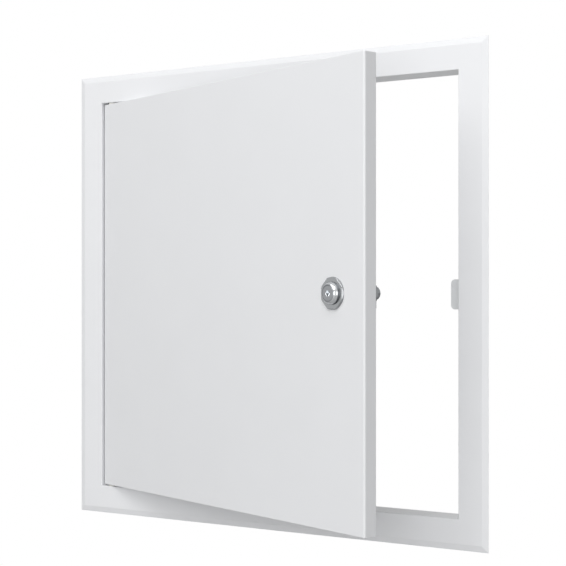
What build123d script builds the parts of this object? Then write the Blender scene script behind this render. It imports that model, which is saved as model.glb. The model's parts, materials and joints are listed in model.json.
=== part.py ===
from build123d import *
from math import cos, radians, sqrt, tan
import os

# Flush access panel door: a pressed steel frame and a folded steel door pan on two
# concealed pivot pins, closed by a cam latch. All sizes are in millimetres.
# X runs along the width, Y into the wall and Z up. The origin is on the wall face of
# the flange, in the middle of its bottom edge. The door stands ajar at rest.

# Frame
frame_width = 356.0
frame_height = 356.0
flange_width = 21.8
return_depth = 20.5
sheet = 1.5
fold_radius = 0.5
fold_inner_radius = 0.3
rim_width = 4.5
rim_edge = 0.25

# Fixing holes in the jamb returns
screw_hole_radius = 2.5
screw_spacing = 200.0
screw_depth = 14.2

# Strike plate on the latch jamb
strike_reach = 14.0
strike_height = 21.4
strike_corner = 3.0
strike_leg = 11.0
strike_sheet = 1.5

# Door pan
side_reveal = 1.9
end_reveal = 1.4
door_depth = 10.5
door_sheet = 1.2
door_lip = 9.0
door_bend = 1.4
door_crease = 0.4
lip_bend = 0.6
seam_width = 0.4
seam_margin = 0.8

# Door opening
ajar_angle = 19.9

# Hinge
pin_inset = 6.3
pin_setback = 4.2
pin_radius = 1.5
pin_chamfer = 0.4
pin_tail = 0.8
pin_clearance = 0.1
pin_fit = 0.03
washer_radius = 3.2
washer_clearance = 0.1
plate_length = 24.0
plate_thickness = 2.0
plate_margin = 0.3

# Lock collar, housing and nut
lock_backset = 29.8
lock_rise = 0.7
collar_radius = 10.3
collar_side = 0.4
collar_width = 19.4
collar_height = 1.6
bezel_radius = 9.1
bezel_height = 1.5
bezel_round = 0.6
boss_foot_radius = 7.4
boss_top_radius = 5.95
boss_height = 2.6
barrel_radius = 8.0
barrel_flats = 14.4
barrel_length = 30.8
barrel_clearance = 0.15
lip_depth = 1.5
lock_nut_width = 22.0
lock_nut_height = 4.0
nut_clearance = 0.1

# Turning plug
plug_face_radius = 5.2
plug_recess = 0.1
plug_chamfer = 0.15
plug_stem_radius = 5.9
plug_clearance = 0.1
socket_width = 4.0
socket_depth = 2.6
shank_width = 7.0
shank_clearance = 0.05
thread_radius = 2.5
thread_end = 41.2

# Cranked cam and its nut
cam_gap = 0.2
cam_sheet = 2.5
cam_hub_radius = 8.0
cam_width = 12.0
cam_reach = 31.0
cam_flat = 8.5
cam_crank_angle = 60.0
cam_tip_corner = 3.0
strike_clearance = 0.5
cam_nut_width = 8.0
cam_nut_height = 5.8

# Places worked out from the sizes above; the flange lies flat on the wall
front_height = sheet
opening_width = frame_width - 2 * flange_width
opening_height = frame_height - 2 * flange_width
middle_z = frame_height / 2
opening_right = opening_width / 2
opening_top = frame_height - flange_width
opening_bottom = flange_width
rear_y = return_depth - front_height
door_width = opening_width - 2 * side_reveal
door_height = opening_height - 2 * end_reveal
door_top = opening_top - end_reveal
door_bottom = opening_bottom + end_reveal
hinge_x = -door_width / 2 + pin_inset
hinge_y = pin_setback - front_height

# The door's own planes, turned about the hinge axis by the angle it stands ajar
hinge_frame = Plane(
    origin=(hinge_x, hinge_y, middle_z), x_dir=(1, 0, 0), z_dir=(0, -1, 0)
).rotated((0, 0, -ajar_angle))
door_face = Plane(
    origin=hinge_frame.from_local_coords((door_width / 2 - pin_inset, 0, pin_setback)),
    x_dir=hinge_frame.x_dir,
    z_dir=hinge_frame.z_dir,
)
lock_face = Plane(
    origin=door_face.from_local_coords((door_width / 2 - lock_backset, lock_rise, 0)),
    x_dir=door_face.x_dir,
    z_dir=door_face.z_dir,
)
lock_axis = Axis(lock_face.origin, lock_face.z_dir)

os.makedirs("parts", exist_ok=True)


def save(name, solid):
    """Label a finished piece and write it to its own file."""
    solid.label = name
    export_step(solid, "parts/" + name + ".step")


def flange_section(plane):
    """Sketch the frame's section: x away from the opening, y from the front face into the wall."""
    with BuildSketch(plane) as section:
        with BuildLine():
            Polyline(
                (0, 0),
                (flange_width - rim_width, 0),
                (flange_width, sheet - rim_edge),
                (flange_width, sheet),
                (sheet, sheet),
                (sheet, return_depth),
                (0, return_depth),
                close=True,
            )
        make_face()
        fillet(section.vertices().sort_by_distance((0, 0))[0], fold_radius)
        fillet(section.vertices().sort_by_distance((sheet, sheet))[0], fold_inner_radius)
    return section


def mitred_member(plane, span, mitres):
    """Extrude the frame's section past both corners, then cut it back to its mitres."""
    section = flange_section(plane)
    extrude(section.sketch, amount=span / 2 + flange_width, both=True)
    for mitre in mitres:
        split(bisect_by=mitre, keep=Keep.BOTTOM)


def mitre_at(corner_x, corner_z, normal_x, normal_z):
    """The plane through a corner of the opening whose normal leaves the member."""
    return Plane(origin=(corner_x, 0, corner_z), z_dir=(normal_x, 0, normal_z))


# Frame head, with the hole for the upper hinge pin
with BuildPart() as frame_head:
    mitred_member(
        Plane(origin=(0, -front_height, opening_top), x_dir=(0, 0, 1), z_dir=(-1, 0, 0)),
        opening_width,
        [
            mitre_at(-opening_right, opening_top, -1, -1),
            mitre_at(opening_right, opening_top, 1, -1),
        ],
    )
    with Locations((hinge_x, hinge_y, opening_top + sheet)):
        Hole(pin_radius + pin_fit, depth=2 * sheet)
save("frame_head", frame_head.part)

# Frame sill, with the hole for the lower hinge pin
with BuildPart() as frame_sill:
    mitred_member(
        Plane(origin=(0, -front_height, opening_bottom), x_dir=(0, 0, -1), z_dir=(1, 0, 0)),
        opening_width,
        [
            mitre_at(-opening_right, opening_bottom, -1, 1),
            mitre_at(opening_right, opening_bottom, 1, 1),
        ],
    )
    with Locations((hinge_x, hinge_y, opening_bottom)):
        Hole(pin_radius + pin_fit, depth=2 * sheet)
save("frame_sill", frame_sill.part)

# Hinge jamb and latch jamb, each with two fixing holes in its return
jamb_screws = Plane(
    origin=(0, screw_depth - front_height, middle_z), x_dir=(0, 0, 1), z_dir=(1, 0, 0)
)
with BuildPart() as frame_hinge_jamb:
    mitred_member(
        Plane(origin=(-opening_right, -front_height, middle_z), x_dir=(-1, 0, 0), z_dir=(0, 0, -1)),
        opening_height,
        [
            mitre_at(-opening_right, opening_top, 1, 1),
            mitre_at(-opening_right, opening_bottom, 1, -1),
        ],
    )
    with Locations(jamb_screws.offset(-opening_right)):
        with GridLocations(screw_spacing, 0, 2, 1):
            Hole(screw_hole_radius, depth=2 * sheet)
save("frame_hinge_jamb", frame_hinge_jamb.part)

with BuildPart() as frame_latch_jamb:
    mitred_member(
        Plane(origin=(opening_right, -front_height, middle_z), x_dir=(1, 0, 0), z_dir=(0, 0, 1)),
        opening_height,
        [
            mitre_at(opening_right, opening_top, -1, 1),
            mitre_at(opening_right, opening_bottom, -1, -1),
        ],
    )
    with Locations(jamb_screws.offset(opening_right + sheet)):
        with GridLocations(screw_spacing, 0, 2, 1):
            Hole(screw_hole_radius, depth=2 * sheet)
save("frame_latch_jamb", frame_latch_jamb.part)

# Strike plate: an angle that hooks round the rear edge of the latch jamb's return
with BuildPart() as strike_plate:
    with BuildSketch(Plane.XY.offset(middle_z)):
        with BuildLine():
            Polyline(
                (opening_right - strike_reach, rear_y),
                (opening_right + sheet, rear_y),
                (opening_right + sheet, rear_y - strike_leg),
                (opening_right + sheet + strike_sheet, rear_y - strike_leg),
                (opening_right + sheet + strike_sheet, rear_y + strike_sheet),
                (opening_right - strike_reach, rear_y + strike_sheet),
                close=True,
            )
        make_face()
    extrude(amount=strike_height / 2, both=True)
    fillet(strike_plate.edges().filter_by(Axis.Y).sort_by(Axis.X)[:2], strike_corner)
    fillet(strike_plate.edges().filter_by(Axis.Z).group_by(Axis.X)[-1].sort_by(Axis.Y)[-1], strike_sheet)
save("strike_plate", strike_plate.part)


def pivot_pin(root_z, tip_z):
    """A pin welded into the frame flush with its outside at root_z, chamfered at tip_z."""
    with BuildSketch(Plane((hinge_x, hinge_y, root_z))) as shank:
        Circle(pin_radius)
    extrude(shank.sketch, amount=tip_z - root_z)
    rims = edges().filter_by(GeomType.CIRCLE).sort_by(Axis.Z)
    chamfer(rims[0] if tip_z < root_z else rims[-1], pin_chamfer)


def thrust_washer(low_z):
    """A plain ring on the pin that fills the end reveal between frame and door."""
    with BuildSketch(Plane((hinge_x, hinge_y, low_z))) as ring:
        Circle(washer_radius)
        Circle(pin_radius + pin_clearance, mode=Mode.SUBTRACT)
    extrude(ring.sketch, amount=end_reveal - washer_clearance)


# Pivot pins, set in the frame and reaching through the door's returns and hinge plates
pin_reach = door_sheet + plate_thickness + pin_tail
with BuildPart() as upper_hinge_pin:
    pivot_pin(opening_top + sheet, door_top - pin_reach)
save("upper_hinge_pin", upper_hinge_pin.part)

with BuildPart() as lower_hinge_pin:
    pivot_pin(opening_bottom - sheet, door_bottom + pin_reach)
save("lower_hinge_pin", lower_hinge_pin.part)

# Thrust washers: the lower one lies on the sill, the upper one hangs under the head
with BuildPart() as upper_hinge_washer:
    thrust_washer(door_top + washer_clearance)
save("upper_hinge_washer", upper_hinge_washer.part)

with BuildPart() as lower_hinge_washer:
    thrust_washer(opening_bottom)
save("lower_hinge_washer", lower_hinge_washer.part)


def hinge_plane(z):
    """The level plane at z whose origin is on the hinge axis, with x along the door."""
    return Plane(origin=(hinge_x, hinge_y, z), x_dir=door_face.x_dir, z_dir=(0, 0, 1))


def flatted_round(plane, clearance):
    """Sketch the lock barrel's outline, a round with two flats, grown by a clearance."""
    with BuildSketch(plane) as outline:
        Circle(barrel_radius + clearance)
        Rectangle(barrel_flats + 2 * clearance, 2 * (barrel_radius + clearance), mode=Mode.INTERSECT)
    return outline.sketch


# Door pan: a folded skin with four returns and a narrow lip all round its open back, the
# lips meeting at open mitre seams in the corners
seam_inner = door_lip + seam_width
seam_outer = door_bend + seam_margin
seam_x = (door_width - seam_inner - seam_outer) / 2
seam_z = (door_height - seam_inner - seam_outer) / 2
seam_length = sqrt(2) * (seam_inner - seam_outer)
with BuildPart() as door_pan:
    with BuildSketch(door_face):
        Rectangle(door_width, door_height)
    extrude(amount=-door_depth)
    face_axis = Axis(door_face.origin, door_face.z_dir)
    uprights = door_pan.edges().filter_by(Axis.Z).sort_by(face_axis)
    fillet(uprights[2:], door_bend)
    fillet(door_pan.edges().filter_by(Axis.Z).sort_by(face_axis)[:2], lip_bend)
    level_faces = door_pan.faces().sort_by(Axis.Z)
    fillet(level_faces[0].edges() + level_faces[-1].edges(), door_crease)
    with BuildSketch(door_face.offset(-door_sheet)):
        Rectangle(door_width - 2 * door_sheet, door_height - 2 * door_sheet)
    extrude(amount=-(door_depth - 2 * door_sheet), mode=Mode.SUBTRACT)
    with BuildSketch(door_face.offset(-door_depth)):
        Rectangle(door_width - 2 * door_lip, door_height - 2 * door_lip)
    extrude(amount=2 * door_sheet, both=True, mode=Mode.SUBTRACT)
    with BuildSketch(door_face.offset(-door_depth)):
        with Locations((seam_x, seam_z), (-seam_x, -seam_z)):
            Rectangle(seam_length, seam_width, rotation=45)
        with Locations((-seam_x, seam_z), (seam_x, -seam_z)):
            Rectangle(seam_length, seam_width, rotation=-45)
    extrude(amount=2 * door_sheet, both=True, mode=Mode.SUBTRACT)
    extrude(flatted_round(lock_face, barrel_clearance), amount=-2 * door_sheet, mode=Mode.SUBTRACT)
    for return_z in (door_top, door_bottom):
        with BuildSketch(hinge_plane(return_z)):
            Circle(pin_radius + pin_clearance)
        extrude(amount=2 * door_sheet, both=True, mode=Mode.SUBTRACT)
save("door_pan", door_pan.part)


def bearing_plate(low_z):
    """A plate welded into a corner of the pan, against the return, with the pin's bearing hole."""
    near = -(pin_inset - door_sheet - plate_margin)
    front = -(pin_setback - door_sheet - plate_margin)
    back = door_depth - pin_setback - door_sheet - plate_margin
    with BuildSketch(hinge_plane(low_z)) as outline:
        with Locations(((near + plate_length) / 2, (front + back) / 2)):
            Rectangle(plate_length - near, back - front)
        Circle(pin_radius + pin_clearance, mode=Mode.SUBTRACT)
    extrude(outline.sketch, amount=plate_thickness)


with BuildPart() as upper_hinge_plate:
    bearing_plate(door_top - door_sheet - plate_thickness)
save("upper_hinge_plate", upper_hinge_plate.part)

with BuildPart() as lower_hinge_plate:
    bearing_plate(door_bottom + door_sheet)
save("lower_hinge_plate", lower_hinge_plate.part)


def hex_nut(seat, width, height, bore_radius):
    """A hexagon nut behind its seat plane, its corners turned off at the free end."""
    corner_radius = width / 2 / cos(radians(30))
    with BuildSketch(seat) as blank:
        Circle(corner_radius)
        Circle(bore_radius, mode=Mode.SUBTRACT)
    extrude(blank.sketch, amount=-height)
    free_rims = edges().filter_by(GeomType.CIRCLE).group_by(lock_axis)[0]
    chamfer(free_rims.sort_by(SortBy.LENGTH)[-1], corner_radius - width / 2)
    with BuildSketch(seat) as flats:
        RegularPolygon(width / 2, 6, major_radius=False)
    extrude(flats.sketch, amount=-height, mode=Mode.INTERSECT)


def octagon(plane, width):
    """Sketch an octagon across its flats, with flats at the top and the sides."""
    with BuildSketch(plane) as outline:
        RegularPolygon(width / 2, 8, major_radius=False, rotation=22.5)
    return outline.sketch


# Lock collar: a round plate between the door's face and the housing, its rim cut to eight facets
# that rise from the round side to the flat top
facet_rise = collar_height - collar_side
facet_lean = collar_radius - collar_width / 2
facet_slope = facet_lean / facet_rise
foot_width = collar_width + 2 * facet_slope * collar_height
with BuildPart() as lock_collar:
    foot = octagon(lock_face, foot_width)
    crown = octagon(lock_face.offset(collar_height), collar_width)
    loft([foot.face(), crown.face()])
    with BuildSketch(lock_face):
        Circle(collar_radius)
    extrude(amount=collar_height, mode=Mode.INTERSECT)
    extrude(flatted_round(lock_face, barrel_clearance), amount=collar_height, mode=Mode.SUBTRACT)
save("lock_collar", lock_collar.part)

# Lock housing: a round bezel with a bevelled boss, and a barrel with two flats
bezel_face = collar_height + bezel_height
boss_face = bezel_face + boss_height
lip_seat = boss_face - lip_depth
with BuildPart() as lock_housing:
    extrude(flatted_round(lock_face.offset(collar_height), 0), amount=-(collar_height + barrel_length))
    with BuildSketch(lock_face.offset(collar_height)):
        Circle(bezel_radius)
    extrude(amount=bezel_height)
    fillet(lock_housing.faces().sort_by(lock_axis)[-1].edges(), bezel_round)
    with BuildSketch(lock_face.offset(bezel_face)):
        Circle(boss_foot_radius)
    with BuildSketch(lock_face.offset(boss_face)):
        Circle(boss_top_radius)
    loft()
    with BuildSketch(lock_face.offset(-barrel_length)):
        Circle(plug_stem_radius + plug_clearance)
    extrude(amount=barrel_length + lip_seat, mode=Mode.SUBTRACT)
    with BuildSketch(lock_face.offset(lip_seat)):
        Circle(plug_face_radius + plug_clearance)
    extrude(amount=lip_depth, mode=Mode.SUBTRACT)
save("lock_housing", lock_housing.part)

# Lock nut, tight behind the door's skin
with BuildPart() as lock_nut:
    hex_nut(lock_face.offset(-door_sheet), lock_nut_width, lock_nut_height, barrel_radius + nut_clearance)
save("lock_nut", lock_nut.part)

# Turning plug: a face with a hexagonal socket, held in by the housing's lip, a stem, a square
# shank and a thread
cam_seat = barrel_length + cam_gap
plug_face = boss_face - plug_recess
with BuildPart() as lock_plug:
    with BuildSketch(lock_face.offset(plug_face)):
        Circle(plug_face_radius)
    extrude(amount=-(plug_face - lip_seat + plug_clearance))
    chamfer(lock_plug.faces().sort_by(lock_axis)[-1].edges(), plug_chamfer)
    with BuildSketch(lock_face.offset(lip_seat - plug_clearance)):
        Circle(plug_stem_radius)
    extrude(amount=-(lip_seat - plug_clearance + cam_seat))
    with BuildSketch(lock_face.offset(plug_face)):
        RegularPolygon(socket_width / 2, 6, major_radius=False)
    extrude(amount=-socket_depth, mode=Mode.SUBTRACT)
    with BuildSketch(lock_face.offset(-cam_seat)):
        Rectangle(shank_width, shank_width)
    extrude(amount=-(cam_sheet - cam_gap))
    with BuildSketch(lock_face.offset(-cam_seat)):
        Circle(thread_radius)
    extrude(amount=-(thread_end - cam_seat))
save("lock_plug", lock_plug.part)

# Cranked cam: hangs down at rest, its tip stepped forward to pass close behind the strike
cam_tip_front = return_depth + strike_sheet + strike_clearance
crank_run = (cam_seat - cam_tip_front) / tan(radians(cam_crank_angle))
crank_shift = cam_sheet * tan(radians(cam_crank_angle / 2))
cam_side = Plane(origin=lock_face.origin, x_dir=(0, 0, -1), z_dir=lock_face.x_dir)
with BuildPart() as latch_cam:
    with BuildSketch(lock_face.offset(-cam_seat - cam_sheet)):
        Circle(cam_hub_radius)
        with Locations((0, -cam_reach / 2)):
            Rectangle(cam_width, cam_reach)
    extrude(amount=cam_seat + cam_sheet - cam_tip_front)
    fillet(latch_cam.edges().filter_by(lock_axis).sort_by(Axis.Z)[:2], cam_tip_corner)
    with BuildSketch(cam_side):
        with BuildLine():
            Polyline(
                (-cam_hub_radius, cam_seat),
                (cam_flat, cam_seat),
                (cam_flat + crank_run, cam_tip_front),
                (cam_reach, cam_tip_front),
                (cam_reach, cam_tip_front + cam_sheet),
                (cam_flat + crank_run + crank_shift, cam_tip_front + cam_sheet),
                (cam_flat + crank_shift, cam_seat + cam_sheet),
                (-cam_hub_radius, cam_seat + cam_sheet),
                close=True,
            )
        make_face()
    extrude(amount=cam_hub_radius, both=True, mode=Mode.INTERSECT)
    with BuildSketch(lock_face.offset(-cam_seat)):
        Rectangle(shank_width + 2 * shank_clearance, shank_width + 2 * shank_clearance)
    extrude(amount=-cam_sheet, mode=Mode.SUBTRACT)
save("latch_cam", latch_cam.part)

# Cam nut on the plug's thread
with BuildPart() as cam_nut:
    cam_nut_seat = lock_face.offset(-cam_seat - cam_sheet)
    hex_nut(cam_nut_seat, cam_nut_width, cam_nut_height, thread_radius + shank_clearance)
save("cam_nut", cam_nut.part)
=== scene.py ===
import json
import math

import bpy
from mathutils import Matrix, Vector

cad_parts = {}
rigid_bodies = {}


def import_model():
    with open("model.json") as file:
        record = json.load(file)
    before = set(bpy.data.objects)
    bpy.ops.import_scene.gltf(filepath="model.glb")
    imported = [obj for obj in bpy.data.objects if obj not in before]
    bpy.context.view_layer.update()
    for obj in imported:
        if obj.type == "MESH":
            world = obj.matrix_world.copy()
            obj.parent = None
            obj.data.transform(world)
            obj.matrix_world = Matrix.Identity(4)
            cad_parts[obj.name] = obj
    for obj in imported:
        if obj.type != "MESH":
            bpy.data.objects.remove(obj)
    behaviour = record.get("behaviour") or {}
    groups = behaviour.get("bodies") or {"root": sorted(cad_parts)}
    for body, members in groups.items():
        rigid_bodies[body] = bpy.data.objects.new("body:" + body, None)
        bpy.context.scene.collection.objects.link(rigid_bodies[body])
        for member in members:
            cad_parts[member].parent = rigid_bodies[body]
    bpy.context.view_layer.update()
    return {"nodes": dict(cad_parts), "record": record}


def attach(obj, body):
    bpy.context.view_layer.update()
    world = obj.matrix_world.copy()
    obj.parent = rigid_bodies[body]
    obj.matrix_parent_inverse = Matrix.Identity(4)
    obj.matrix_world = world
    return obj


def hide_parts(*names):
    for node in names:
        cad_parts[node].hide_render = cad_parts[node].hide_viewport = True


bl_info = {
    "name": "Access Panel Door",
    "version": (1, 0, 0),
    "blender": (4, 5, 0),
    "location": "View3D > Sidebar > Access Panel",
    "description": "Finishes a flush steel access panel with its cam latch and sets a plain studio round it",
    "category": "Object",
}


def clear_scene():
    """Start from an empty scene, so that it holds only the panel and its stage."""
    for obj in list(bpy.data.objects):
        bpy.data.objects.remove(obj)


clear_scene()

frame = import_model()

MM = 0.001

# The lock's sizes in millimetres, with heights counted out of the door's face
COLLAR_RADIUS = 10.8
COLLAR_SIDE = 0.2
COLLAR_FACE = 1.35
COLLAR_WIDTH = 20.2
COLLAR_EDGE = 0.12
COLLAR_BORE = 8.15
COLLAR_LIP = 0.3
COLLAR_CLEARANCE = 0.02
BOSS_WALL_RADIUS = 7.5
BOSS_WALL_TOP = 2.6
BOSS_TOP_RADIUS = 6.1
BOSS_FACE = 4.7
BOSS_EDGE = 0.1
BOSS_EDGE_OUTSET = 0.03
BOSS_EDGE_INSET = 0.06
BOSS_FOOT_GAP = 0.05
LIP_RADIUS = 5.3
LIP_SEAT = 3.2
LIP_BREAK = 0.06
BORE_RADIUS = 6.0
BARREL_RADIUS = 8.0
BARREL_FLATS = 14.4
BARREL_END = -30.8
BARREL_SHOULDER = -1.2
BARREL_THREAD_DEPTH = 0.55
BARREL_END_CHAMFER = 0.4
PLUG_FACE = 4.6
PLUG_FACE_RADIUS = 5.2
PLUG_CHAMFER = 0.15
PLUG_SHOULDER = 3.1
PLUG_STEM_RADIUS = 5.9
SOCKET_WIDTH = 3.7
SOCKET_DEPTH = 2.6
SOCKET_CHAMFER_DEPTH = 0.12
SOCKET_CHAMFER_WIDTH = 0.25
CAM_SEAT = -31.0
SHANK_WIDTH = 7.0
SHANK_END = -33.3
STUD_RADIUS = 2.5
STUD_END = -41.2
STUD_THREAD_DEPTH = 0.5
THREAD_LEAD = 0.1
THREAD_END_GAP = 0.4

# How finely the lock's pieces are divided
RING_POINTS = 96
COLLAR_STEPS = 12
RINGS_PER_TURN = 8
FADE_OUT_RINGS = 4

# Angles in degrees past which an edge stays crisp
TURNED_CREASE = 28
COLLAR_CREASE = 12

# The lock's finishes, in the order of its pieces' material slots; the third is a darker copy of the nickel,
# painted shade on the lock's side walls, lip and bore
BRUSHED, POLISHED, PAINTED_SHADE_WALL, SATIN = range(4)


def linear(hex_colour):
    """An sRGB hex colour as linear RGBA."""
    parts = [int(hex_colour[i:i + 2], 16) / 255 for i in (1, 3, 5)]
    light = [c / 12.92 if c <= 0.04045 else ((c + 0.055) / 1.055) ** 2.4 for c in parts]
    return (*light, 1.0)


def add_node(tree, kind, settings=None, inputs=None, links=None):
    """Add one shader node with its settings, its input values and the links into it."""
    node = tree.nodes.new(kind)
    for name, value in (settings or {}).items():
        setattr(node, name, value)
    for name, value in (inputs or {}).items():
        node.inputs[name].default_value = value
    for name, socket in (links or {}).items():
        tree.links.new(socket, node.inputs[name])
    return node


def new_material(name):
    """An empty node material, and its tree and output node."""
    material = bpy.data.materials.new(name)
    material.use_nodes = True
    material.node_tree.nodes.clear()
    output = add_node(material.node_tree, "ShaderNodeOutputMaterial")
    return material, material.node_tree, output


def tone_ramp(tree, factor, low, high, low_at=0.3, high_at=0.7):
    """A two-colour ramp between two linear colours."""
    ramp = add_node(tree, "ShaderNodeValToRGB", links={"Fac": factor})
    first, last = ramp.color_ramp.elements
    first.position, last.position = low_at, high_at
    first.color, last.color = low, high
    return ramp


def powder_coat(name, colour, roughness):
    """Baked polyester powder coat on steel: satin, with a faint orange peel about 1.5 mm across."""
    material, tree, output = new_material(name)
    place = add_node(tree, "ShaderNodeTexCoord")
    peel = add_node(
        tree,
        "ShaderNodeTexNoise",
        inputs={"Scale": 1 / (1.5 * MM), "Detail": 2.0, "Roughness": 0.5},
        links={"Vector": place.outputs["Object"]},
    )
    # The film's thickness drifts over about 60 mm, which shifts the tone by a hair
    cloud = add_node(
        tree,
        "ShaderNodeTexNoise",
        inputs={"Scale": 1 / (60 * MM), "Detail": 2.0},
        links={"Vector": place.outputs["Object"]},
    )
    dark = (*[c * 0.985 for c in colour[:3]], 1.0)
    tone = tone_ramp(tree, cloud.outputs["Fac"], dark, (*colour[:3], 1.0))
    bump = add_node(
        tree,
        "ShaderNodeBump",
        inputs={"Strength": 0.12, "Distance": 0.02 * MM},
        links={"Height": peel.outputs["Fac"]},
    )
    shader = add_node(
        tree,
        "ShaderNodeBsdfPrincipled",
        inputs={"Roughness": roughness, "IOR": 1.5},
        links={"Base Color": tone.outputs["Color"], "Normal": bump.outputs["Normal"]},
    )
    tree.links.new(shader.outputs["BSDF"], output.inputs["Surface"])
    return material


def zinc_plate(name, colour, roughness):
    """Zinc plate on stamped steel: grey and satin, with 3 mm clouds and fine 0.5 mm scratches."""
    material, tree, output = new_material(name)
    place = add_node(tree, "ShaderNodeTexCoord")
    cloud = add_node(
        tree,
        "ShaderNodeTexNoise",
        inputs={"Scale": 1 / (3 * MM), "Detail": 3.0},
        links={"Vector": place.outputs["Object"]},
    )
    scratch = add_node(
        tree,
        "ShaderNodeTexNoise",
        inputs={"Scale": 1 / (0.5 * MM), "Detail": 3.0},
        links={"Vector": place.outputs["Object"]},
    )
    dark = (*[c * 0.82 for c in colour[:3]], 1.0)
    tone = tone_ramp(tree, cloud.outputs["Fac"], dark, (*colour[:3], 1.0))
    rough = add_node(
        tree,
        "ShaderNodeMapRange",
        inputs={"To Min": roughness * 0.8, "To Max": roughness * 1.3},
        links={"Value": cloud.outputs["Fac"]},
    )
    bump = add_node(
        tree,
        "ShaderNodeBump",
        inputs={"Strength": 0.15, "Distance": 0.01 * MM},
        links={"Height": scratch.outputs["Fac"]},
    )
    shader = add_node(
        tree,
        "ShaderNodeBsdfPrincipled",
        inputs={"Metallic": 1.0},
        links={
            "Base Color": tone.outputs["Color"],
            "Roughness": rough.outputs["Result"],
            "Normal": bump.outputs["Normal"],
        },
    )
    tree.links.new(shader.outputs["BSDF"], output.inputs["Surface"])
    return material


def turned_nickel(name, colour, roughness, ring_pitch):
    """Nickel plate on turned die-cast zinc: bright, with fine rings round the lock's axis."""
    material, tree, output = new_material(name)
    place = add_node(tree, "ShaderNodeTexCoord")
    inverse = lock_frame().inverted()
    # The distance from the lock's axis comes from the surface point in the lock's own frame
    across = [
        add_node(
            tree,
            "ShaderNodeVectorMath",
            {"operation": "DOT_PRODUCT"},
            {1: tuple(inverse[row][:3])},
            {0: place.outputs["Object"]},
        )
        for row in (0, 1)
    ]
    squares = []
    for row, dot in enumerate(across):
        shifted = add_node(
            tree,
            "ShaderNodeMath",
            {"operation": "ADD"},
            {1: inverse[row][3]},
            {0: dot.outputs["Value"]},
        )
        squares.append(
            add_node(
                tree,
                "ShaderNodeMath",
                {"operation": "POWER"},
                {1: 2.0},
                {0: shifted.outputs[0]},
            )
        )
    total = add_node(
        tree,
        "ShaderNodeMath",
        {"operation": "ADD"},
        links={0: squares[0].outputs[0], 1: squares[1].outputs[0]},
    )
    radius = add_node(tree, "ShaderNodeMath", {"operation": "SQRT"}, links={0: total.outputs[0]})
    rings = add_node(
        tree,
        "ShaderNodeTexNoise",
        {"noise_dimensions": "1D"},
        {"Scale": 1 / ring_pitch, "Detail": 2.0},
        {"W": radius.outputs[0]},
    )
    rough = add_node(
        tree,
        "ShaderNodeMapRange",
        inputs={"To Min": roughness * 0.75, "To Max": roughness * 1.3},
        links={"Value": rings.outputs["Fac"]},
    )
    bump = add_node(
        tree,
        "ShaderNodeBump",
        inputs={"Strength": 0.2, "Distance": 0.01 * MM},
        links={"Height": rings.outputs["Fac"]},
    )
    shader = add_node(
        tree,
        "ShaderNodeBsdfPrincipled",
        inputs={"Metallic": 1.0, "Base Color": (*colour[:3], 1.0)},
        links={"Roughness": rough.outputs["Result"], "Normal": bump.outputs["Normal"]},
    )
    tree.links.new(shader.outputs["BSDF"], output.inputs["Surface"])
    return material


def moulded_nylon(name, colour):
    """Natural moulded nylon: waxy, with a faint 0.4 mm spark-eroded grain and a little light inside."""
    material, tree, output = new_material(name)
    place = add_node(tree, "ShaderNodeTexCoord")
    grain = add_node(
        tree,
        "ShaderNodeTexNoise",
        inputs={"Scale": 1 / (0.4 * MM), "Detail": 2.0},
        links={"Vector": place.outputs["Object"]},
    )
    bump = add_node(
        tree,
        "ShaderNodeBump",
        inputs={"Strength": 0.2, "Distance": 0.02 * MM},
        links={"Height": grain.outputs["Fac"]},
    )
    shader = add_node(
        tree,
        "ShaderNodeBsdfPrincipled",
        inputs={"Base Color": (*colour[:3], 1.0), "Roughness": 0.45, "IOR": 1.53},
        links={"Normal": bump.outputs["Normal"]},
    )
    tree.links.new(shader.outputs["BSDF"], output.inputs["Surface"])
    return material


def set_material(nodes, material):
    """Give carried-over pieces their finish."""
    for node in nodes:
        obj = frame["nodes"][node]
        obj.data.materials.clear()
        obj.data.materials.append(material)


def lock_frame():
    """The matrix whose x runs along the door, y up and z out of its face at the lock's centre."""
    joint = next(j for j in frame["record"]["behaviour"]["joints"] if j["name"] == "cam_turn")
    out = Vector(joint["axis"]).normalized()
    up = Vector((0, 0, 1))
    along = up.cross(out)
    turn = Matrix((along, up, out)).transposed().to_4x4()
    return Matrix.Translation(joint["pos_m"]) @ turn


def round_outline(radius):
    """A circle's radius at every angle."""
    return lambda angle: radius


def hex_outline(width):
    """A hexagon's radius at an angle, with corners on the x axis."""
    return lambda angle: width / 2 / math.cos((angle % (math.pi / 3)) - math.pi / 6)


def square_outline(width):
    """A square's radius at an angle, with flats across the x and y axes."""
    return lambda angle: width / 2 / max(abs(math.cos(angle)), abs(math.sin(angle)))


def flat_reach(angle, flats):
    """How far two flats across the x axis let an outline reach at an angle."""
    return flats / 2 / max(abs(math.cos(angle)), 1e-6)


def flatted_outline(radius, flats):
    """A round's radius at an angle, cut back to two flats."""
    return lambda angle: min(radius, flat_reach(angle, flats))


def thread_outline(crest, depth, pitch, height, flats=None):
    """A thread's radius at an angle at one height along its axis, cut back to flats if it has them."""

    def radius(angle):
        phase = (height / pitch - angle / (2 * math.pi)) % 1.0
        reach = crest - depth * (1 - abs(2 * phase - 1))
        return min(reach, flat_reach(angle, flats)) if flats else reach

    return radius


def facet_outline(width, largest):
    """An octagon's radius at an angle, with flats across the x and y axes, inside a largest radius."""

    def radius(angle):
        off_flat = (angle + math.pi / 8) % (math.pi / 4) - math.pi / 8
        return min(width / 2 / math.cos(off_flat), largest)

    return radius


def threaded_rings(crest, depth, pitch, start, end, finish, flats=None):
    """Rings of a thread from one height to another, which runs out at both ends."""
    count = max(2, round(abs(end - start) / pitch * RINGS_PER_TURN))
    rings = []
    for step in range(count + 1):
        height = start + (end - start) * step / count
        fade = min(1.0, step / RINGS_PER_TURN, (count - step) / FADE_OUT_RINGS)
        rings.append((height, thread_outline(crest, depth * fade, pitch, height, flats), finish))
    return rings


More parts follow.
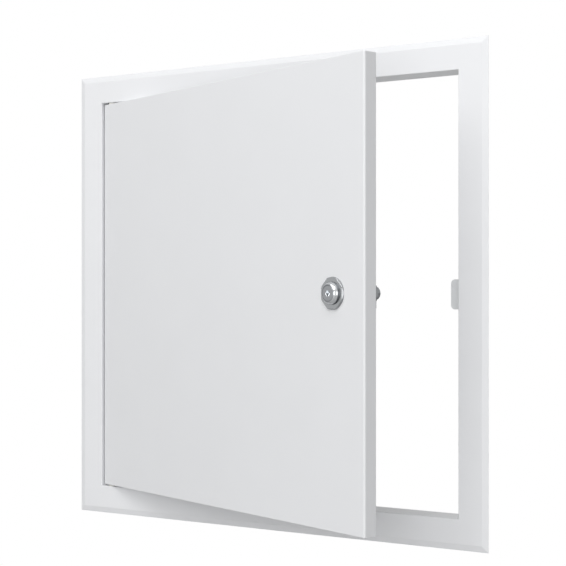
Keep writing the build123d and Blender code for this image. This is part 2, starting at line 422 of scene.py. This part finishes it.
def ring_mesh(name, rings, capped, crease=TURNED_CREASE):
    """A closed mesh in the lock's frame through rings of height, outline and the finish up to the next.

    It is capped at both ends, or else its last ring joins the first, round a bore.
    """
    segments = RING_POINTS
    to_world = lock_frame()
    points = []
    for height, outline, _ in rings:
        for k in range(segments):
            angle = 2 * math.pi * k / segments
            reach = outline(angle)
            local = Vector((reach * math.cos(angle), reach * math.sin(angle), height)) * MM
            points.append(to_world @ local)
    faces = []
    finishes = []
    for ring in range(len(rings) - 1 if capped else len(rings)):
        for k in range(segments):
            here, there = ring * segments, (ring + 1) % len(rings) * segments
            nxt = (k + 1) % segments
            faces.append((here + k, there + k, there + nxt, here + nxt))
            finishes.append(rings[ring][2])
    if capped:
        last = (len(rings) - 1) * segments
        faces.append(tuple(range(segments)))
        faces.append(tuple(reversed(range(last, last + segments))))
        finishes += [rings[0][2], rings[-1][2]]
    mesh = bpy.data.meshes.new(name)
    mesh.from_pydata([tuple(p) for p in points], [], faces)
    mesh.polygons.foreach_set("use_smooth", [True] * len(mesh.polygons))
    mesh.polygons.foreach_set("material_index", finishes)
    mesh.set_sharp_from_angle(angle=math.radians(crease))
    mesh.update()
    piece = bpy.data.objects.new(name, mesh)
    bpy.context.scene.collection.objects.link(piece)
    return piece


def place_piece(piece, materials, body, replaced=()):
    """Finish a new piece and tie it to its body."""
    for material in materials:
        piece.data.materials.append(material)
    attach(piece, body)
    if replaced:
        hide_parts(*replaced)


class PanelFinishSettings(bpy.types.PropertyGroup):
    """Colours and gloss of the painted and plated pieces"""

    frame_colour: bpy.props.FloatVectorProperty(
        name="Frame colour",
        description="Powder coat of the frame",
        subtype="COLOR",
        size=3,
        min=0.0,
        max=1.0,
        default=linear("#EDEEF0")[:3],
    )
    door_colour: bpy.props.FloatVectorProperty(
        name="Door colour",
        description="Powder coat of the door",
        subtype="COLOR",
        size=3,
        min=0.0,
        max=1.0,
        default=linear("#EDEEF0")[:3],
    )
    strike_colour: bpy.props.FloatVectorProperty(
        name="Strike colour",
        description="Powder coat of the strike plate",
        subtype="COLOR",
        size=3,
        min=0.0,
        max=1.0,
        default=linear("#EBEDEE")[:3],
    )
    coat_roughness: bpy.props.FloatProperty(
        name="Coat roughness",
        description="How satin the powder coat is",
        subtype="FACTOR",
        min=0.1,
        max=1.0,
        default=0.42,
    )
    zinc_colour: bpy.props.FloatVectorProperty(
        name="Zinc colour",
        description="Zinc plate of the pins, plates, cam and nuts",
        subtype="COLOR",
        size=3,
        min=0.0,
        max=1.0,
        default=linear("#8E9092")[:3],
    )
    lock_face_colour: bpy.props.FloatVectorProperty(
        name="Lock face colour",
        description="Brushed nickel of the lock's flat faces",
        subtype="COLOR",
        size=3,
        min=0.0,
        max=1.0,
        default=linear("#949699")[:3],
    )
    lock_bevel_colour: bpy.props.FloatVectorProperty(
        name="Lock bevel colour",
        description="Polished nickel of the lock's bevel",
        subtype="COLOR",
        size=3,
        min=0.0,
        max=1.0,
        default=linear("#C2C4C6")[:3],
    )
    # Painted shade: this darker nickel stands for the shade on the lock's side walls, lip and bore
    lock_wall_painted_shade_colour: bpy.props.FloatVectorProperty(
        name="Lock edge colour",
        description="Unpolished nickel of the lock's side walls",
        subtype="COLOR",
        size=3,
        min=0.0,
        max=1.0,
        default=linear("#85878A")[:3],
    )
    lock_collar_colour: bpy.props.FloatVectorProperty(
        name="Lock collar colour",
        description="Satin nickel of the collar and the barrel",
        subtype="COLOR",
        size=3,
        min=0.0,
        max=1.0,
        default=linear("#9C9EA0")[:3],
    )
    washer_colour: bpy.props.FloatVectorProperty(
        name="Washer colour",
        description="Moulded nylon of the hinge washers",
        subtype="COLOR",
        size=3,
        min=0.0,
        max=1.0,
        default=linear("#E4E3DC")[:3],
    )


class PanelLockSettings(bpy.types.PropertyGroup):
    """Fine sizes of the lock"""

    barrel_pitch: bpy.props.FloatProperty(
        name="Barrel thread pitch",
        description="Distance between turns of the thread on the lock barrel",
        subtype="DISTANCE",
        unit="LENGTH",
        min=0.0005,
        default=1.25 * MM,
    )
    stud_pitch: bpy.props.FloatProperty(
        name="Stud thread pitch",
        description="Distance between turns of the thread that holds the cam",
        subtype="DISTANCE",
        unit="LENGTH",
        min=0.0005,
        default=1.0 * MM,
    )
    ring_pitch: bpy.props.FloatProperty(
        name="Turning ring pitch",
        description="Distance between the fine rings left on the turned faces",
        subtype="DISTANCE",
        unit="LENGTH",
        min=0.0001,
        default=0.35 * MM,
    )


class PanelStageSettings(bpy.types.PropertyGroup):
    """Floor and lights"""

    floor_drop: bpy.props.FloatProperty(
        name="Floor drop",
        description="How far the floor lies below the panel, which hangs on a wall",
        subtype="DISTANCE",
        unit="LENGTH",
        min=0.05,
        default=0.7,
    )
    light_level: bpy.props.FloatProperty(
        name="Light level",
        description="Scales the power of all the soft lights",
        min=0.0,
        default=1.0,
    )
    fill_strength: bpy.props.FloatProperty(
        name="Fill light",
        description="Strength of the even light from all round",
        min=0.0,
        default=0.12,
    )


class PANEL_OT_frame(bpy.types.Operator):
    """Paint the frame and its strike plate"""

    bl_idname = "panel.frame"
    bl_label = "Frame"

    def execute(self, context):
        finish = context.scene.panel_finish
        white = powder_coat("powder_coated_steel_frame", finish.frame_colour, finish.coat_roughness)
        strike = powder_coat("powder_coated_steel_strike", finish.strike_colour, finish.coat_roughness)
        set_material(("frame_head", "frame_sill", "frame_hinge_jamb", "frame_latch_jamb"), white)
        set_material(("strike_plate",), strike)
        return {"FINISHED"}


class PANEL_OT_door(bpy.types.Operator):
    """Paint the door pan"""

    bl_idname = "panel.door"
    bl_label = "Door"

    def execute(self, context):
        finish = context.scene.panel_finish
        white = powder_coat("powder_coated_steel_door", finish.door_colour, finish.coat_roughness)
        set_material(("door_pan",), white)
        return {"FINISHED"}


class PANEL_OT_hinges(bpy.types.Operator):
    """Finish the pivot pins, their plates and their washers"""

    bl_idname = "panel.hinges"
    bl_label = "Hinges"

    def execute(self, context):
        finish = context.scene.panel_finish
        zinc = zinc_plate("zinc_plated_steel_hinges", finish.zinc_colour, roughness=0.4)
        nylon = moulded_nylon("moulded_nylon_washers", finish.washer_colour)
        pins = ("upper_hinge_pin", "lower_hinge_pin", "upper_hinge_plate", "lower_hinge_plate")
        set_material(pins, zinc)
        set_material(("upper_hinge_washer", "lower_hinge_washer"), nylon)
        return {"FINISHED"}


class PANEL_OT_lock(bpy.types.Operator):
    """Build the bevelled lock housing with its threaded barrel, and the turning plug"""

    bl_idname = "panel.lock"
    bl_label = "Lock"

    def execute(self, context):
        finish = context.scene.panel_finish
        sizes = context.scene.panel_lock
        # Name, colour and roughness of the brushed, polished, wall and satin finishes, in slot order; the
        # wall finish is a darker copy of the nickel, painted shade on the side walls, lip and bore
        finishes = (
            ("nickel_plate_brushed_flat", finish.lock_face_colour, 0.32),
            ("nickel_plate_polished_bevel", finish.lock_bevel_colour, 0.1),
            ("nickel_plate_wall_painted_shade", finish.lock_wall_painted_shade_colour, 0.35),
            ("nickel_plate_satin_collar", finish.lock_collar_colour, 0.22),
        )
        materials = [turned_nickel(*one, sizes.ring_pitch) for one in finishes]
        self.build_collar(materials)
        self.build_housing(materials, sizes.barrel_pitch / MM)
        self.build_plug(materials, sizes.stud_pitch / MM)
        return {"FINISHED"}

    def build_collar(self, materials):
        """The eight-sided plate under the housing."""
        bore = round_outline(COLLAR_BORE)
        inside = round_outline(BOSS_WALL_RADIUS + COLLAR_CLEARANCE)
        top = facet_outline(COLLAR_WIDTH - COLLAR_EDGE, COLLAR_RADIUS - COLLAR_EDGE)
        seat = COLLAR_FACE - COLLAR_LIP
        rings = [(0, bore, SATIN), (seat, bore, SATIN), (seat, inside, SATIN)]
        rings += [(COLLAR_FACE, inside, SATIN), (COLLAR_FACE, top, SATIN)]
        lean = (2 * COLLAR_RADIUS - COLLAR_WIDTH) / (COLLAR_FACE - COLLAR_SIDE)
        for step in reversed(range(COLLAR_STEPS + 1)):
            height = (COLLAR_FACE - COLLAR_EDGE) * step / COLLAR_STEPS
            width = COLLAR_WIDTH + lean * (COLLAR_FACE - height)
            rings.append((height, facet_outline(width, COLLAR_RADIUS), SATIN))
        collar = ring_mesh("eight_sided_lock_collar", rings, capped=False, crease=COLLAR_CREASE)
        place_piece(collar, materials, "door", ("lock_collar",))

    def build_housing(self, materials, pitch):
        """The bevelled boss and the threaded barrel with its two flats."""
        barrel = flatted_outline(BARREL_RADIUS, BARREL_FLATS)
        boss_foot = COLLAR_FACE - COLLAR_LIP - BOSS_FOOT_GAP
        rings = [
            # The bore, the lip wall and the boss wall take the darker nickel, which is painted shade
            (BARREL_END, round_outline(BORE_RADIUS), PAINTED_SHADE_WALL),
            (LIP_SEAT, round_outline(BORE_RADIUS), PAINTED_SHADE_WALL),
            (LIP_SEAT, round_outline(LIP_RADIUS), PAINTED_SHADE_WALL),
            (BOSS_FACE - BOSS_EDGE, round_outline(LIP_RADIUS), BRUSHED),
            (BOSS_FACE, round_outline(LIP_RADIUS + LIP_BREAK), BRUSHED),
            (BOSS_FACE, round_outline(BOSS_TOP_RADIUS - BOSS_EDGE), POLISHED),
            (BOSS_FACE - BOSS_EDGE, round_outline(BOSS_TOP_RADIUS + BOSS_EDGE_OUTSET), POLISHED),
            (BOSS_WALL_TOP + BOSS_EDGE, round_outline(BOSS_WALL_RADIUS - BOSS_EDGE_INSET), POLISHED),
            (BOSS_WALL_TOP - BOSS_EDGE, round_outline(BOSS_WALL_RADIUS), PAINTED_SHADE_WALL),
            (boss_foot, round_outline(BOSS_WALL_RADIUS), PAINTED_SHADE_WALL),
            (boss_foot, barrel, SATIN),
            (BARREL_SHOULDER, barrel, SATIN),
        ]
        rings += threaded_rings(
            BARREL_RADIUS,
            BARREL_THREAD_DEPTH,
            pitch,
            BARREL_SHOULDER - THREAD_LEAD,
            BARREL_END + THREAD_END_GAP,
            SATIN,
            BARREL_FLATS,
        )
        chamfered = flatted_outline(BARREL_RADIUS - BARREL_END_CHAMFER, BARREL_FLATS)
        rings.append((BARREL_END, chamfered, SATIN))
        housing = ring_mesh("threaded_lock_housing", rings, capped=False)
        place_piece(housing, materials, "door", ("lock_housing",))

    def build_plug(self, materials, pitch):
        """The turning plug with its hexagonal socket, square shank and threaded stud."""
        rings = [
            (PLUG_FACE - SOCKET_DEPTH, hex_outline(SOCKET_WIDTH), POLISHED),
            (PLUG_FACE - SOCKET_CHAMFER_DEPTH, hex_outline(SOCKET_WIDTH), POLISHED),
            (PLUG_FACE, hex_outline(SOCKET_WIDTH + SOCKET_CHAMFER_WIDTH), BRUSHED),
            (PLUG_FACE, round_outline(PLUG_FACE_RADIUS - PLUG_CHAMFER), BRUSHED),
            # The plug's side takes the darker nickel, which is painted shade
            (PLUG_FACE - PLUG_CHAMFER, round_outline(PLUG_FACE_RADIUS), PAINTED_SHADE_WALL),
            (PLUG_SHOULDER, round_outline(PLUG_FACE_RADIUS), PAINTED_SHADE_WALL),
            (PLUG_SHOULDER, round_outline(PLUG_STEM_RADIUS), SATIN),
            (CAM_SEAT, round_outline(PLUG_STEM_RADIUS), SATIN),
            (CAM_SEAT, square_outline(SHANK_WIDTH), SATIN),
            (SHANK_END, square_outline(SHANK_WIDTH), SATIN),
            (SHANK_END, round_outline(STUD_RADIUS), SATIN),
        ]
        rings += threaded_rings(
            STUD_RADIUS,
            STUD_THREAD_DEPTH,
            pitch,
            SHANK_END - THREAD_LEAD,
            STUD_END + THREAD_END_GAP,
            SATIN,
        )
        rings.append((STUD_END, round_outline(STUD_RADIUS - STUD_THREAD_DEPTH), SATIN))
        plug = ring_mesh("hexagon_socket_plug", rings, capped=True)
        place_piece(plug, materials, "cam", ("lock_plug",))


class PANEL_OT_cam(bpy.types.Operator):
    """Finish the cranked cam and both nuts"""

    bl_idname = "panel.cam"
    bl_label = "Cam and nuts"

    def execute(self, context):
        finish = context.scene.panel_finish
        zinc = zinc_plate("zinc_plated_steel_cam", finish.zinc_colour, roughness=0.36)
        set_material(("latch_cam", "cam_nut", "lock_nut"), zinc)
        return {"FINISHED"}


# Each soft light's name, degrees round from the front, degrees above level, and power in watts
SOFTBOXES = (
    ("overhead_left", -20, 60, 9.1),
    ("overhead_right", 20, 45, 12.4),
    ("front_left", -20, 30, 8.5),
    ("front_right", 20, 0, 9.1),
    ("side_right", 60, 0, 4.2),
    ("back", 180, 50, 3.0),
)
LAMP_DISTANCE = 2.0
LAMP_SIDE = 1.0
AIM_HEIGHT = 178 * MM
FLOOR_SIDE = 3.0

# The camera that took the photo, with its shift in the photo's pixels
CAMERA_AT = (499.83 * MM, -833.52 * MM, 177.65 * MM)
CAMERA_TURN = 30.215
CAMERA_LENS = 81.65
CAMERA_SHIFT = 11.87
PHOTO_SIDE = 566.0


class PANEL_OT_stage(bpy.types.Operator):
    """Set the floor, the lights and the camera"""

    bl_idname = "panel.stage"
    bl_label = "Stage"

    def execute(self, context):
        scene = context.scene
        settings = scene.panel_stage
        scene.view_settings.view_transform = "Standard"
        self.set_world(scene, settings.fill_strength)
        self.add_floor(scene, settings.floor_drop)

        for softbox in SOFTBOXES:
            self.add_softbox(scene, settings.light_level, *softbox)

        camera = bpy.data.cameras.new("photo_camera")
        camera.sensor_width = 36.0
        camera.lens = CAMERA_LENS
        camera.shift_y = CAMERA_SHIFT / PHOTO_SIDE
        eye = bpy.data.objects.new("photo_camera", camera)
        scene.collection.objects.link(eye)
        eye.location = CAMERA_AT
        eye.rotation_euler = (math.radians(90), 0, math.radians(CAMERA_TURN))
        scene.camera = eye
        return {"FINISHED"}

    def add_softbox(self, scene, level, name, round_degrees, up_degrees, power):
        """A square soft light that faces the panel's middle."""
        light = bpy.data.lights.new(name, "AREA")
        light.shape = "SQUARE"
        light.size = LAMP_SIDE
        light.energy = power * level
        lamp = bpy.data.objects.new(name, light)
        scene.collection.objects.link(lamp)
        across, up = math.radians(round_degrees), math.radians(up_degrees)
        out = Vector((math.cos(up) * math.sin(across), -math.cos(up) * math.cos(across), math.sin(up)))
        lamp.location = Vector((0, 0, AIM_HEIGHT)) + LAMP_DISTANCE * out
        lamp.rotation_mode = "QUATERNION"
        lamp.rotation_quaternion = (-out).to_track_quat("-Z", "Y")

    def set_world(self, scene, strength):
        """Even fill light, with a white background where it is seen or mirrored."""
        world = bpy.data.worlds.new("studio")
        scene.world = world
        world.use_nodes = True
        tree = world.node_tree
        tree.nodes.clear()
        out = add_node(tree, "ShaderNodeOutputWorld")
        path = add_node(tree, "ShaderNodeLightPath")
        seen = add_node(
            tree,
            "ShaderNodeMath",
            {"operation": "MAXIMUM"},
            links={0: path.outputs["Is Camera Ray"], 1: path.outputs["Is Glossy Ray"]},
        )
        seen_through = add_node(
            tree,
            "ShaderNodeMath",
            {"operation": "MAXIMUM"},
            links={0: seen.outputs[0], 1: path.outputs["Is Transmission Ray"]},
        )
        white = (1.0, 1.0, 1.0, 1.0)
        fill = add_node(tree, "ShaderNodeBackground", inputs={"Color": white, "Strength": strength})
        shown = add_node(tree, "ShaderNodeBackground", inputs={"Color": white, "Strength": 1.0})
        mix = add_node(
            tree,
            "ShaderNodeMixShader",
            links={0: seen_through.outputs[0], 1: fill.outputs[0], 2: shown.outputs[0]},
        )
        tree.links.new(mix.outputs[0], out.inputs["Surface"])

    def add_floor(self, scene, drop):
        """A plain pale floor well below the panel."""
        material, tree, output = new_material("painted_floor")
        place = add_node(tree, "ShaderNodeTexCoord")
        cloud = add_node(
            tree,
            "ShaderNodeTexNoise",
            inputs={"Scale": 1 / 0.4, "Detail": 2.0},
            links={"Vector": place.outputs["Object"]},
        )
        tone = tone_ramp(tree, cloud.outputs["Fac"], linear("#F1F1F1"), linear("#F4F4F4"))
        shader = add_node(
            tree,
            "ShaderNodeBsdfPrincipled",
            inputs={"Roughness": 0.7},
            links={"Base Color": tone.outputs["Color"]},
        )
        tree.links.new(shader.outputs["BSDF"], output.inputs["Surface"])
        half = FLOOR_SIDE / 2
        corners = [(-half, -half, -drop), (half, -half, -drop), (half, half, -drop), (-half, half, -drop)]
        mesh = bpy.data.meshes.new("floor")
        mesh.from_pydata(corners, [], [(0, 1, 2, 3)])
        mesh.materials.append(material)
        floor = bpy.data.objects.new("floor", mesh)
        scene.collection.objects.link(floor)


class PANEL_PT_sidebar(bpy.types.Panel):
    """Lists the panel's pieces, sizes and colours"""

    bl_label = "Access Panel"
    bl_idname = "PANEL_PT_sidebar"
    bl_space_type = "VIEW_3D"
    bl_region_type = "UI"
    bl_category = "Access Panel"

    def draw(self, context):
        layout = self.layout
        scene = context.scene
        for settings in (scene.panel_finish, scene.panel_lock, scene.panel_stage):
            box = layout.box()
            for name in settings.__annotations__:
                box.prop(settings, name)
        for operator in OPERATORS:
            layout.operator(operator.bl_idname)


OPERATORS = (
    PANEL_OT_frame,
    PANEL_OT_door,
    PANEL_OT_hinges,
    PANEL_OT_lock,
    PANEL_OT_cam,
    PANEL_OT_stage,
)
CLASSES = (PanelFinishSettings, PanelLockSettings, PanelStageSettings, *OPERATORS, PANEL_PT_sidebar)


def register():
    for cls in CLASSES:
        bpy.utils.register_class(cls)
    bpy.types.Scene.panel_finish = bpy.props.PointerProperty(type=PanelFinishSettings)
    bpy.types.Scene.panel_lock = bpy.props.PointerProperty(type=PanelLockSettings)
    bpy.types.Scene.panel_stage = bpy.props.PointerProperty(type=PanelStageSettings)


def unregister():
    del bpy.types.Scene.panel_stage
    del bpy.types.Scene.panel_lock
    del bpy.types.Scene.panel_finish
    for cls in reversed(CLASSES):
        bpy.utils.unregister_class(cls)


def main():
    register()
    bpy.ops.panel.frame()
    bpy.ops.panel.door()
    bpy.ops.panel.hinges()
    bpy.ops.panel.lock()
    bpy.ops.panel.cam()
    bpy.ops.panel.stage()


if __name__ == "__main__":
    main()
